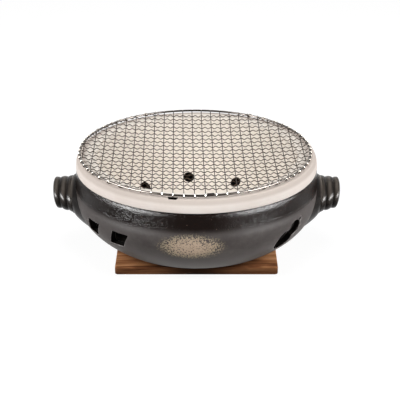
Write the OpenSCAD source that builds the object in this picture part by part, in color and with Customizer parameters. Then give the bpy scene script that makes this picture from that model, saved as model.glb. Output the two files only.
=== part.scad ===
// Round tabletop charcoal brazier. A dark stoneware bowl with two ribbed lug handles stands
// on a wooden board. A pale fire bowl hangs in it by its flange, and a round net of woven
// wire lies on the fire bowl's ring. Lengths are millimetres and angles are degrees.
// +Z is up, the front is towards -Y, and the origin is the middle of the board's underside.

/* [Board] */
// Width of the board, left to right
board_w = 198; // [170:1:230]
// Depth of the board, front to back
board_d = 198; // [190:1:230]
// Thickness of the board
board_t = 10; // [6:0.5:18]
// Chamfer along every edge of the board
board_chamfer = 1.2; // [0.4:0.1:2.5]

/* [Bowl] */
// Radius of the bowl at its widest
bowl_r = 153; // [146:0.5:162]
// Height of the bowl from the board to its rim
bowl_h = 95; // [90:0.5:106]
// Height above the board at which the bowl is widest
belly_h = 64.5; // [60:0.5:70]
// How far below its widest line the side stays full
belly_depth = 39.5; // [32:0.5:45]
// Radius at which the side turns under
base_r = 106; // [98:0.5:112]
// Thickness of the bowl's wall
bowl_wall = 9; // [6:0.5:11]
// Thickness of the bowl's floor
bowl_floor = 9; // [6:0.5:11]
// Outer radius of the foot ring
foot_r = 92; // [84:0.5:95]
// Width of the foot ring
foot_w = 12; // [8:0.5:16]
// Height of the foot ring
foot_h = 2.5; // [1.5:0.1:5]

/* [Bowl rim] */
// How far the collar leans in between the belly and the rim
collar_lean = 2; // [1:0.1:4]
// Height of the glossy collar under the rim
collar_h = 19; // [14:0.5:23]
// Step where the collar starts
collar_step = 0.4; // [0.2:0.1:1]
// Width of the rim, from its outer edge to the mouth
rim_w = 10; // [8:0.5:13]
// How far the rim's outer edge is rounded in
rim_round = 3.5; // [1:0.1:5]
// How far down the collar that rounding starts
rim_fall = 10; // [4:0.5:11.5]

/* [Square vents] */
// Width of a square vent along its top
vent_w = 24; // [14:0.5:26]
// Height of a square vent
vent_h = 20.5; // [12:0.5:24]
// Height of the middle of the square vents above the board
vent_rise = 47; // [42:0.5:50]
// How far a vent's foot stands to the left of its top
vent_lean = 10.9; // [0:0.1:14]
// How much narrower a vent is along its foot
vent_taper = 1.5; // [0:0.1:5]
// How much higher the right end of a vent's foot is
vent_skew = 2.1; // [0:0.1:5]
// Direction of the vent nearer the front, to the left of it
vent_turn = 36.2; // [30:0.1:40]
// Angle between the two square vents
vent_step = 18; // [16:0.1:20]

/* [Gourd vent] */
// Direction of the gourd vent, to the right of the front
gourd_turn = 46; // [30:0.5:50]
// Height of the lower bulb's middle above the board
gourd_rise = 38; // [34:0.5:42]
// Radius of the lower bulb
gourd_low_r = 14; // [10:0.1:16]
// Radius of the upper bulb
gourd_top_r = 10.4; // [6:0.1:12]
// Distance between the middles of the bulbs
gourd_step = 19; // [14:0.5:22]
// Length of the stem above the upper bulb
gourd_stem = 5; // [2:0.5:7]
// Width of the stem
gourd_stem_w = 3.2; // [2:0.1:5]
// How far the gourd leans to the right
gourd_lean = 46; // [0:1:50]

/* [Handles] */
// How far a handle's tip stands out from the bowl's belly
lug_reach = 27.5; // [22:0.1:36]
// Number of ribs on a handle
lug_ribs = 3; // [2:1:4]
// Depth of the valleys between the ribs
lug_valley = 1.9; // [1:0.1:3.5]
// Half the width of a handle at its tip
lug_tip_a = 22; // [18:0.5:36]
// Half the height of a handle at its tip
lug_tip_b = 18.3; // [14:0.1:21]
// Half the width of a handle at its innermost rib
lug_in_a = 36.5; // [30:0.5:44]
// Half the height of a handle at its innermost rib
lug_in_b = 21.3; // [16:0.1:24]
// Half the width of the flare where a handle meets the bowl
lug_root_a = 54; // [45:0.5:60]
// Half the height of the flare where a handle meets the bowl
lug_root_b = 31; // [26:0.5:35]
// Height of a handle's middle above the board
lug_rise = 56.6; // [50:0.1:58]
// How much lower the innermost rib is than the tip
lug_in_drop = 2.7; // [0:0.1:4]
// How much lower the middle of the flare is
lug_root_drop = 10.3; // [2:0.1:12]
// Lean of the ribs, top outwards
lug_tilt = 6.3; // [0:0.1:10]

/* [Fire bowl] */
// Height of the ring that shows above the bowl's rim
ring_h = 16; // [12:0.5:20]
// How much smaller the ring is at its top than at its foot
ring_taper = 4.3; // [2:0.1:6]
// Rounding of the ring's top edge
ring_round = 1.8; // [0.8:0.1:2.5]
// Width of the flat land on top of the ring
land_w = 22; // [18:0.5:26]
// Radius of the fire chamber's floor
chamber_floor_r = 81.5; // [72:0.5:84]
// Rounding between the chamber's floor and its wall
chamber_round = 10; // [4:0.5:14]
// Thickness of the fire bowl's wall
liner_wall = 12; // [8:0.5:14]
// Thickness of the fire bowl's floor
liner_floor = 12.5; // [8:0.5:14]
// Height of the collar that centres the fire bowl in the mouth
spigot_h = 8; // [5:0.5:12]
// Number of air holes round the chamber
air_holes = 8; // [4:1:12]
// Diameter of an air hole
air_hole_d = 14.3; // [8:0.1:18]
// Height of the air holes above the chamber's floor
air_hole_rise = 13.5; // [11:0.5:20]
// Direction of the first air hole, left of straight back
air_hole_turn = 7.3; // [0:0.1:20]

/* [Notches] */
// Length of the two notches in the ring's top, along the ring
notch_l = [9.5, 7];
// Width of the two notches, across the ring
notch_w = [4.6, 4.6];
// Distance of each notch's middle from the ring's outer top edge
notch_inset = [2.2, 15.9];
// Direction of each notch, to the right of the front
notch_turn = [-10.7, 7.4];
// Depth of the notches
notch_depth = 5; // [2:0.5:8]

/* [Net] */
// Diameter of the net's rim wire
rim_wire_d = 2.6; // [2:0.1:4]
// Diameter of the mesh wires
mesh_wire_d = 1.1; // [0.8:0.1:1.3]
// Distance of the net's rim in from the ring's outer top edge
net_inset = 2; // [1:0.5:6]
// Number of wires that run front to back
long_count = 23; // [17:2:23]
// Number of wires that run left to right
cross_count = 21; // [15:1:21]
// Distance of the leftmost wire from the net's left edge
left_edge = 2.5; // [2:0.1:9]
// Distance of the rightmost wire from the net's right edge
right_edge = 6.9; // [2:0.1:9]
// Distance of the frontmost wire from the net's front edge
front_edge = 24.4; // [8:0.1:28]
// Distance of the rearmost wire from the net's back edge
back_edge = 16.5; // [8:0.1:20]
// How far the left-right wires are out of square with the others
mesh_skew = 2.5; // [0:0.1:6]
// How far the net sags in the middle
net_sag = 8.1; // [2:0.1:9]
// How far the net lies left of the bowl's middle
net_shift = 1.9; // [0:0.1:3]
// How far the net is turned on the ring
net_turn = 1; // [0:0.5:10]

/* [Clearances] */
// Clearance round the fire bowl in the bowl's mouth
mouth_clear = 1.2; // [0.6:0.1:2]
// Height of the air gap under the fire bowl
ash_gap = 3; // [1:0.5:5]
// Gap between the net's wires, and between the net and the ring it lies on
touch_gap = 0.15; // [0.1:0.05:0.3]
// Gap between a handle and the bowl's side
lug_gap = 0.2; // [0.15:0.05:0.4]

/* [Hidden] */
wood = "#6b4429";
stoneware = "#4a4645";
fireclay = "#e6ddd6";
steel_wire = "#c9c9c6";
side_steps = 24;
round_steps = 8;

// Heights of the seats, from the board's underside
foot_z = board_t;
under_z = foot_z + foot_h;
floor_z = under_z + bowl_floor;
belly_z = board_t + belly_h;
rim_z = board_t + bowl_h;
liner_z = floor_z + ash_gap;
chamber_z = liner_z + liner_floor;
ring_z = rim_z + ring_h;

// Bowl: the outer and the inner side are each one curve from the base to the belly
rim_r = bowl_r - collar_lean;
mouth_r = rim_r - rim_w;
turn_x = 3.5;
turn_z = 0.7;
base_wall = 0.6 * bowl_wall;
turn_wall = 0.3 * bowl_wall;
outer_curve = [
    [base_r, under_z],
    [base_r + turn_x, under_z + turn_z],
    [bowl_r, belly_z - belly_depth],
    [bowl_r, belly_z]
];
inner_curve = [
    [base_r - base_wall, floor_z],
    [base_r + turn_x - turn_wall, floor_z + turn_z],
    [bowl_r - bowl_wall, belly_z - belly_depth + bowl_wall / 2],
    [bowl_r - bowl_wall, belly_z]
];
outer_side = [for (i = [0 : side_steps]) curve_point(outer_curve, i / side_steps)];
inner_side = [for (i = [0 : side_steps]) curve_point(inner_curve, i / side_steps)];
// Radius of the bowl's outside against height, for what is joined to it
side_table = concat([for (p = outer_side) [p[1], p[0]]], [[rim_z - rim_fall, rim_r]]);

// Handles
lug_z = board_t + lug_rise;
lug_in_x = bowl_r - 0.5;
lug_tip_x = bowl_r + lug_reach;
lug_points = 40;
lug_root_rings = 10;
lug_flare_rings = 8;
lug_rib_rings = 8;
lug_cap_rings = 5;
lug_first_ring = lug_rib_rings / 2;
lug_crest_ring = lug_ribs * lug_rib_rings - lug_first_ring;
valley_power = 0.6;
flare_pull = 1.3;
flare_side = 1.5;
flare_under = 0.7;
last_turn = 85;

// Fire bowl: its chamber is a cone, and its outside runs parallel to that
ring_step = 0.2;
ring_foot = 2;
ring_waist_h = 9.5;
ring_waist = 0.8;
ring_r = rim_r - ring_step;
ring_top_r = ring_r - ring_taper;
chamber_mouth_r = ring_top_r - land_w;
chamber_slope = (chamber_mouth_r - chamber_floor_r) / (ring_z - chamber_z);
liner_wall_level = liner_wall * sqrt(1 + chamber_slope * chamber_slope);
spigot_r = mouth_r - mouth_clear;
spigot_run = 14;
liner_heel = 5.5;
land_round = 1.5;
air_hole_z = chamber_z + air_hole_rise;

// Net: every mesh wire is the same arc, on one of two levels that just clear each other
rim_wire_r = ring_top_r - net_inset - rim_wire_d / 2;
level = (mesh_wire_d + touch_gap / 2) / 2;
net_bend_r = rim_wire_r * rim_wire_r / (2 * net_sag);
seat_sag = sag_at(chamber_mouth_r - net_shift);
net_z = ring_z + mesh_wire_d / 2 + touch_gap + level + seat_sag;
mesh_r = rim_wire_r - rim_wire_d / 2 - touch_gap;
long_pitch = (2 * mesh_r - left_edge - right_edge) / (long_count - 1);
cross_pitch = (2 * mesh_r - front_edge - back_edge) / (cross_count - 1);

function two_digits(i) = str(i < 10 ? "0" : "", i);
function long_name(i) = str("net_long_wire_", two_digits(i));
function cross_name(i) = str("net_cross_wire_", two_digits(i));

// A point of a cubic curve with four control points
function curve_point(c, t) =
    pow(1 - t, 3) * c[0] + 3 * t * pow(1 - t, 2) * c[1] + 3 * t * t * (1 - t) * c[2]
    + pow(t, 3) * c[3];

// Points of a round corner about a middle, from one angle to another
function corner(middle, r, from, to, steps = round_steps) =
    [for (i = [0 : steps]) let (a = from + (to - from) * i / steps) middle + r * [cos(a), sin(a)]];

function mix(a, b, f) = a + (b - a) * f;

// Radius of the bowl's outside at a height
function bowl_radius(z) = lookup(z, side_table);

// Radius of the chamber's wall and of the fire bowl's outside at a height
function chamber_radius(z) = chamber_floor_r + (z - chamber_z) * chamber_slope;
function liner_radius(z) = chamber_radius(z) + liner_wall_level;

// How far a dished surface hangs below its rim at a distance from its middle
function sag_at(r) = net_sag * (1 - r * r / (rim_wire_r * rim_wire_r));

// A plate with every edge chamfered: two long prisms crossed, each the plate's own section
module chamfered_plate(w, d, t, c) {
    intersection() {
        translate([0, d / 2, 0]) rotate([90, 0, 0]) linear_extrude(d) chamfered_section(w, t, c);
        translate([-w / 2, 0, 0]) rotate([90, 0, 90]) linear_extrude(w) chamfered_section(d, t, c);
    }
}

module chamfered_section(w, t, c) {
    polygon([
        [-w / 2 + c, 0], [w / 2 - c, 0], [w / 2, c], [w / 2, t - c],
        [w / 2 - c, t], [-w / 2 + c, t], [-w / 2, t - c], [-w / 2, c]
    ]);
}

module board() {
    color(wood) chamfered_plate(board_w, board_d, board_t, board_chamfer);
}

// Lays a flat outline on the bowl's side, facing out, and cuts right through the wall
module through_wall(turn, z) {
    depth = 4 * bowl_wall;
    rotate([0, 0, turn]) translate([0, -bowl_r + depth - bowl_wall, z])
        rotate([90, 0, 0]) linear_extrude(depth) children();
}

module square_vent() {
    polygon([
        [-vent_w / 2, vent_h / 2],
        [vent_w / 2, vent_h / 2],
        [(vent_w - vent_taper) / 2 - vent_lean, (vent_skew - vent_h) / 2],
        [-(vent_w - vent_taper) / 2 - vent_lean, -(vent_skew + vent_h) / 2]
    ]);
}

module gourd_vent() {
    rotate(-gourd_lean) {
        circle(gourd_low_r, $fn = 64);
        translate([0, gourd_step]) circle(gourd_top_r, $fn = 64);
        translate([-gourd_stem_w / 2, gourd_step]) square([gourd_stem_w, gourd_top_r + gourd_stem]);
    }
}

module bowl_section() {
    collar_z = rim_z - collar_h;
    lean_at_collar = collar_lean * (collar_z - belly_z) / (rim_z - rim_fall - belly_z);
    polygon(concat(
        [[0, under_z], [foot_r - foot_w, under_z], [foot_r - foot_w, foot_z], [foot_r, foot_z]],
        [[foot_r, under_z]],
        outer_side,
        [[bowl_r - lean_at_collar, collar_z]],
        [[bowl_r - lean_at_collar - collar_step, collar_z + collar_step]],
        [for (i = [0 : round_steps]) let (a = 90 * i / round_steps)
            [rim_r - rim_round * (1 - cos(a)), rim_z - rim_fall * (1 - sin(a))]],
        [[mouth_r, rim_z]],
        [for (i = [side_steps : -1 : 0]) inner_side[i]],
        [[0, floor_z]]
    ));
}

module outer_bowl() {
    color(stoneware) difference() {
        rotate_extrude($fn = 180) bowl_section();
        for (i = [0, 1])
            through_wall(-vent_turn - i * vent_step, board_t + vent_rise) square_vent();
        through_wall(gourd_turn, board_t + gourd_rise) gourd_vent();
    }
}

// Where the bowl's side lies, just under what is joined to it
function side_x(y, z) = sqrt(pow(bowl_radius(z) + lug_gap, 2) - y * y);

// A point of a handle's foot, which lies on the bowl's side: f = 1 is its edge
function root_point(angle, f) =
    let (
        y = f * lug_root_a * cos(angle),
        z = lug_z - lug_root_drop + f * lug_root_b * sin(angle)
    )
    [side_x(y, z), y, z];

// A point of the flare: f = 0 is the foot's edge, and f = 1 is the innermost rib's crest.
// It is hollowed at the sides and stands out full under the ribs
function flare_point(angle, f) =
    let (
        root = root_point(angle, 1),
        rib = body_point(angle, lug_first_ring / (lug_ribs * lug_rib_rings)),
        share = pow(f, flare_pull),
        y = mix(root[1], rib[1], share),
        z = mix(root[2], rib[2], share),
        hollow = mix(flare_side, flare_under, max(0, -sin(angle)))
    )
    [side_x(y, z) + (rib[0] - side_x(rib[1], rib[2])) * pow(f, hollow), y, z];

// A handle's size shrinks towards the tip and dips between the ribs
function rib_size(inner, tip, f) =
    mix(inner, tip, f) - lug_valley * (1 - pow(abs(sin(180 * lug_ribs * f)), valley_power));

// A point of a handle at a share f of its length, drawn in to a share of its size there
function body_point(angle, f, drawn = 1, x_share = -1) =
    let (
        a = drawn * rib_size(lug_in_a, lug_tip_a, f),
        b = drawn * rib_size(lug_in_b, lug_tip_b, f),
        z = b * sin(angle),
        x = mix(lug_in_x, lug_tip_x, x_share < 0 ? f : x_share)
    )
    [x + z * tan(lug_tilt), a * cos(angle), lug_z - lug_in_drop * (1 - f) + z];

// A point of the rounded tip, which starts at the last rib's crest
function tip_point(angle, turn) =
    let (f = lug_crest_ring / (lug_ribs * lug_rib_rings))
    body_point(angle, f, cos(turn), mix(f, 1, sin(turn)));

function lug_ring(kind, f) =
    [for (i = [0 : lug_points - 1])
        let (angle = 360 * i / lug_points)
        kind == "root" ? root_point(angle, f)
        : kind == "flare" ? flare_point(angle, f)
        : kind == "body" ? body_point(angle, f)
        : tip_point(angle, f)];

function lug_rings() = concat(
    [for (k = [1 : lug_root_rings]) lug_ring("root", k / lug_root_rings)],
    [for (k = [1 : lug_flare_rings]) lug_ring("flare", k / (lug_flare_rings + 1))],
    [for (k = [lug_first_ring : lug_crest_ring]) lug_ring("body", k / (lug_ribs * lug_rib_rings))],
    [for (k = [1 : lug_cap_rings]) lug_ring("tip", last_turn * k / lug_cap_rings)]
);

module lug() {
    rings = lug_rings();
    n = lug_points;
    last = len(rings) - 1;
    points = concat(
        [root_point(0, 0)],
        [for (ring = rings) each ring],
        [tip_point(0, 90)]
    );
    tip = len(points) - 1;
    faces = concat(
        [for (i = [0 : n - 1]) [0, 1 + i, 1 + (i + 1) % n]],
        [for (k = [0 : last - 1], i = [0 : n - 1])
            let (p = 1 + k * n, q = p + n, j = (i + 1) % n)
            each [[p + i, q + i, p + j], [p + j, q + i, q + j]]],
        [for (i = [0 : n - 1]) [tip, 1 + last * n + (i + 1) % n, 1 + last * n + i]]
    );
    polyhedron(points, faces);
}

module handle_right() {
    color(stoneware) lug();
}

module handle_left() {
    color(stoneware) mirror([1, 0, 0]) lug();
}

// The rounding between the chamber's floor and its sloping wall
function chamber_corner() =
    let (
        wall_angle = atan(chamber_slope),
        z = chamber_z + chamber_round,
        r = chamber_radius(z) - chamber_round / cos(wall_angle)
    )
    corner([r, z], chamber_round, -90, -wall_angle);

module fire_bowl_section() {
    polygon(concat(
        [[0, liner_z], [liner_radius(liner_z) - liner_heel, liner_z]],
        [[liner_radius(liner_z + liner_heel), liner_z + liner_heel]],
        [[liner_radius(rim_z - spigot_h - spigot_run), rim_z - spigot_h - spigot_run]],
        [[spigot_r, rim_z - spigot_h], [spigot_r, rim_z], [ring_r - ring_foot, rim_z]],
        [[ring_r - 0.2 * ring_foot, rim_z + 0.3 * ring_foot], [ring_r, rim_z + ring_foot]],
        [[ring_r - ring_waist, rim_z + ring_waist_h]],
        corner([ring_top_r - ring_round, ring_z - ring_round], ring_round, 20, 90),
        corner([chamber_mouth_r + land_round, ring_z - land_round], land_round, 90, 155),
        [for (p = [round_steps : -1 : 0]) chamber_corner()[p]],
        [[0, chamber_z]]
    ));
}

module fire_bowl() {
    color(fireclay) difference() {
        rotate_extrude($fn = 180) fire_bowl_section();
        for (i = [0 : air_holes - 1])
            rotate([0, 0, air_hole_turn + 360 * i / air_holes])
                translate([0, chamber_floor_r / 2, air_hole_z])
                    rotate([-90, 0, 0]) cylinder(h = bowl_r, d = air_hole_d, $fn = 48);
        for (i = [0, 1])
            rotate([0, 0, notch_turn[i]])
                translate([-notch_l[i] / 2, notch_inset[i] - notch_w[i] / 2 - ring_top_r,
                    ring_z - notch_depth])
                    cube([notch_l[i], notch_w[i], 2 * notch_depth]);
    }
}

module on_the_ring() {
    translate([-net_shift, 0, net_z]) rotate([0, 0, net_turn]) children();
}

module net_rim() {
    color(steel_wire) on_the_ring()
        rotate_extrude($fn = 180) translate([rim_wire_r, 0]) circle(d = rim_wire_d, $fn = 24);
}

// A mesh wire along Y at a distance from the net's middle, above or below the mesh's middle
module mesh_wire(offset, side) {
    reach = sqrt(mesh_r * mesh_r - pow(abs(offset) + mesh_wire_d / 2, 2));
    spread = asin(reach / net_bend_r);
    translate([offset, 0, side * level - sag_at(offset) + net_bend_r])
        rotate([90, 0, 90]) rotate([0, 0, -90 - spread])
            rotate_extrude(angle = 2 * spread, $fn = 720)
                translate([net_bend_r, 0]) circle(d = mesh_wire_d, $fn = 16);
}

module net_long_wire(i) {
    color(steel_wire) on_the_ring() mesh_wire(left_edge - mesh_r + (i - 1) * long_pitch, 1);
}

module net_cross_wire(i) {
    color(steel_wire) on_the_ring() rotate([0, 0, 90 - mesh_skew])
        mesh_wire(front_edge - mesh_r + (i - 1) * cross_pitch, -1);
}

board();
outer_bowl();
handle_left();
handle_right();
fire_bowl();
net_rim();
for (i = [1 : long_count])
    net_long_wire(i);
for (i = [1 : cross_count])
    net_cross_wire(i);
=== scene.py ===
"""Round tabletop charcoal brazier, dressed over its CAD frame.

A dark glazed stoneware bowl with two ribbed lug handles stands on a stained wooden board. A pale fireclay
bowl hangs in it by its ring, and a round net of crimped wire lies on the ring. Sizes are millimetres up
to the point where a mesh is made; +Z is up and the front is towards -Y.
"""

import math

import bmesh
import bpy
import numpy as np
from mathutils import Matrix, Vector, noise


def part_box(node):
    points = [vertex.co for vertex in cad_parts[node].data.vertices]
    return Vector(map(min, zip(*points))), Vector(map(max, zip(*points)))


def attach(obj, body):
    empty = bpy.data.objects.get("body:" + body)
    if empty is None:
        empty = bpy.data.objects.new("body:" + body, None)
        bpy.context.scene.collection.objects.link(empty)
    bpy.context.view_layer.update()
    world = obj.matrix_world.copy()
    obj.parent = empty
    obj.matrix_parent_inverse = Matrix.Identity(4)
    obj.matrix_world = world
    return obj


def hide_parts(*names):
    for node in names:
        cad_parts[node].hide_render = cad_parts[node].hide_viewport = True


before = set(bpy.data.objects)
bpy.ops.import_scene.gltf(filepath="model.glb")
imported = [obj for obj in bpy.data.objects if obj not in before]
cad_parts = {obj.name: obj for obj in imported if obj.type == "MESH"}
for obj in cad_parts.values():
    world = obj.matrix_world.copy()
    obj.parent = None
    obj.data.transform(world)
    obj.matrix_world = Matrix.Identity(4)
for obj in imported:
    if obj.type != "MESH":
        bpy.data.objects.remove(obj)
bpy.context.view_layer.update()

scene = bpy.context.scene
MM = 0.001
MATHS = "ShaderNodeMath"
# A Mix node's colour inputs and output, which share their names with those for plain numbers
COLOUR_A, COLOUR_B, COLOUR_OUT = 6, 7, 2

# ---------------------------------------------------------------- camera and view

camera_data = bpy.data.cameras.new("photo_camera")
camera_data.sensor_width = 36
camera_data.lens = 105.7
camera = bpy.data.objects.new("photo_camera", camera_data)
camera.location = (0.004343, -1.36422, 0.66598)
camera.rotation_euler = (math.radians(65.88), 0, 0)
scene.collection.objects.link(camera)
scene.camera = camera
scene.view_settings.view_transform = "Standard"

# ---------------------------------------------------------------- sizes, in mm and degrees


def size_of(node):
    """Lowest and highest corner of a CAD node, in mm."""
    low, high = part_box(node)
    return np.array(low) / MM, np.array(high) / MM


board_low, board_high = size_of("board")
bowl_low, bowl_high = size_of("outer_bowl")
clay_low, clay_high = size_of("fire_bowl")
net_low, net_high = size_of("net_rim")

# Board
board_corner, board_ease = 3.0, 1.3

# Bowl
foot_z, rim_z, bowl_r = bowl_low[2], bowl_high[2], bowl_high[0]
foot_h, foot_out_r, foot_in_r = 2.5, 92, 80
bowl_wall, bowl_floor = 9, 9
base_r, base_sweep, base_sweep_rise = 106, 3.5, 0.7
belly_h, belly_depth = 64.5, 39.5
collar_h, collar_lean, collar_step = 19, 2, 0.4
rim_w, rim_round, rim_fall = 10, 3.5, 10
under_z = foot_z + foot_h
floor_z = under_z + bowl_floor
belly_z = foot_z + belly_h
collar_z = rim_z - collar_h
rim_r = bowl_r - collar_lean
mouth_r = rim_r - rim_w

# Wax-resist patch on the front of the bowl: its middle and half its width and height
patch_x, patch_z, patch_half_w, patch_half_h = -6, 62, 40.8, 18.5

# Vents: directions from the front towards +X, and heights above the board's top
square_turns, square_rise = (-36.2, -54.2), 47
square_w, square_h, square_lean, square_taper, square_skew = 24, 20.5, 10.9, 1.5, 2.1
gourd_turn, gourd_rise, gourd_lean = 46, 38, 46
gourd_low_r, gourd_top_r, gourd_step = 14, 10.4, 19
gourd_stem, gourd_stem_w = 5, 3.2
square_lip, gourd_lip, vent_skin = 0.8, 1.3, 4

# Handles: a is half a section's width and b half its height
lug_z = foot_z + 56.6
lug_in_x, lug_tip_x = bowl_r - 0.5, bowl_r + 27.5
lug_root_a, lug_root_b = 54, 31
lug_in_a, lug_in_b = 36.5, 21.3
lug_tip_a, lug_tip_b = 22, 18.3
lug_ribs, lug_valley, lug_tilt = 3, 1.9, 6.3
lug_root_drop, lug_in_drop = 10.3, 2.7
lug_gap = 0.2
# A faint crease in each handle's flare: its depth, place and width, as shares of the flare
lug_crease, lug_crease_at, lug_crease_w = 0.07, 0.84, 0.08

# Fire bowl
ring_z, liner_z, ring_r = clay_high[2], clay_low[2], clay_high[0]
ring_taper, land_w = 4.3, 22
liner_wall, liner_floor = 12, 12.5
flange_fall, spigot_h, mouth_clear = 22, 8, 1.2
chamber_floor_r, chamber_round = 81.5, 40
chamber_z = liner_z + liner_floor
ring_top_r = ring_r - ring_taper
chamber_mouth_r = ring_top_r - land_w
chamber_slope = (chamber_mouth_r - chamber_floor_r) / (ring_z - chamber_z)
liner_level = liner_wall * math.hypot(1, chamber_slope)
mouth_edge_r = chamber_mouth_r + 2
air_holes, air_hole_turn, air_hole_lip, air_hole_skin = 8, 7.3, 0.6, 3
air_hole_r, air_hole_z, air_hole_flat = 7.15, chamber_z + 14.5, 0.67

# Notches in the ring: length, width, distance in from the ring's edge, and direction
notches = {"notch_cutter_a": (9.5, 4.6, 2.2, -10.7), "notch_cutter_b": (7, 4.6, 15.9, 7.4)}

# Net. The edges are how far its outermost wires lie inside the rim
rim_wire, mesh_wire, wire_gap = 2.6, 1.1, 0.15
net_x = (net_low[0] + net_high[0]) / 2
net_z = net_high[2] - rim_wire / 2
net_r = (net_high[0] - net_low[0] - rim_wire) / 2
mesh_r = net_r - rim_wire / 2 - wire_gap
long_count, cross_count = 23, 21
left_edge, right_edge, front_edge, back_edge = 2.5, 6.9, 24.4, 16.5
long_crimp, cross_crimp = 0.35, 1.0
net_sag, net_skew, net_turn = 8.1, 2.5, 1
# Half waves of the crimp in each cell, and how far inside the rim the wires start to lead up to it
half_waves, lead_w = 3.0, 6
# Where each hook starts on its turn round the rim wire, in radians from level, and its length in its own
# radii. A hook that meets the rim at a slant is drawn out, but not further than hook_stretch
hook_start, hook_length, hook_stretch = 1.35, 3.9, 2.2
# How finely the wires are made: points along them and sides to their section
mesh_points, mesh_sides, rim_points, rim_sides = 320, 7, 240, 12

# ---------------------------------------------------------------- nodes and materials


def linear(hex_colour):
    """An sRGB hex colour as Blender's linear values."""
    values = [int(hex_colour[i : i + 2], 16) / 255 for i in (1, 3, 5)]
    return [v / 12.92 if v <= 0.04045 else ((v + 0.055) / 1.055) ** 2.4 for v in values] + [1.0]


def scale_for(size):
    """A pattern's scale, from the real size of its grain in mm."""
    return 1 / (size * MM)


def add(tree, kind, feeds=None, stops=None, **settings):
    """Adds a node. feeds maps an input to a value, a socket or a node's first output."""
    made = tree.nodes.new(kind)
    for name, value in settings.items():
        setattr(made, name, value)
    for key, value in (feeds or {}).items():
        if isinstance(value, bpy.types.Node):
            value = value.outputs[0]
        if isinstance(value, bpy.types.NodeSocket):
            tree.links.new(value, made.inputs[key])
        else:
            made.inputs[key].default_value = value
    if stops:
        ramp = made.color_ramp
        while len(ramp.elements) < len(stops):
            ramp.elements.new(0.5)
        for element, (place, colour) in zip(ramp.elements, stops):
            element.position = place
            element.color = linear(colour)
    return made


def start_material(name):
    """A new material, its empty node tree, and each point's place on the object."""
    material = bpy.data.materials.new(name)
    material.use_nodes = True
    tree = material.node_tree
    tree.nodes.clear()
    place = add(tree, "ShaderNodeTexCoord").outputs["Object"]
    return material, tree, place


def end_material(tree, shader):
    """Leads a shader to the material's output."""
    add(tree, "ShaderNodeOutputMaterial", {"Surface": shader})


def wax_resist_patch(tree, place, parts):
    """How deep a point lies in the patch, 0 to 1, and how much of the buff clay shows there.

    The patch is an ellipse on the front, thickest in the middle, whose edge breaks up into specks.
    """
    across = add(tree, MATHS, {0: parts.outputs["X"], 1: patch_x * MM}, operation="SUBTRACT")
    across = add(tree, MATHS, {0: across, 1: patch_half_w * MM}, operation="DIVIDE")
    up = add(tree, MATHS, {0: parts.outputs["Z"], 1: patch_z * MM}, operation="SUBTRACT")
    up = add(tree, MATHS, {0: up, 1: patch_half_h * MM}, operation="DIVIDE")
    far = add(tree, MATHS, {0: across, 1: across}, operation="MULTIPLY")
    far = add(tree, MATHS, {0: up, 1: up, 2: far}, operation="MULTIPLY_ADD")
    # Only on the front, and only on the outer face, whose normal points forwards there
    facing = add(tree, "ShaderNodeSeparateXYZ", {"Vector": place.node.outputs["Normal"]}).outputs["Y"]
    behind = add(tree, MATHS, {0: parts.outputs["Y"], 1: facing}, operation="MAXIMUM")
    behind = add(tree, MATHS, {0: behind, 1: 0.0}, operation="GREATER_THAN")
    far = add(tree, MATHS, {0: behind, 1: 9.0, 2: far}, operation="MULTIPLY_ADD")
    patch = add(tree, "ShaderNodeMapRange", {"Value": far, "From Min": 1.15, "From Max": 0.0})
    # The real specks are about 0.8 mm wide, and are drawn coarser so that they show
    specks = add(tree, "ShaderNodeTexNoise", {
        "Vector": place, "Scale": scale_for(1.5625), "Detail": 1.0, "Roughness": 0.5,
    })
    reach = add(tree, MATHS, {0: patch, 1: 0.25, 2: specks}, operation="MULTIPLY_ADD")
    shown = add(tree, "ShaderNodeMapRange", {
        "Value": reach, "From Min": 0.57, "From Max": 0.67, "To Max": 0.9,
    })
    held = add(tree, "ShaderNodeMapRange", {"Value": patch, "From Min": 0.0, "From Max": 0.5})
    shown = add(tree, MATHS, {0: shown, 1: held}, operation="MULTIPLY")
    return patch, shown


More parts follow.
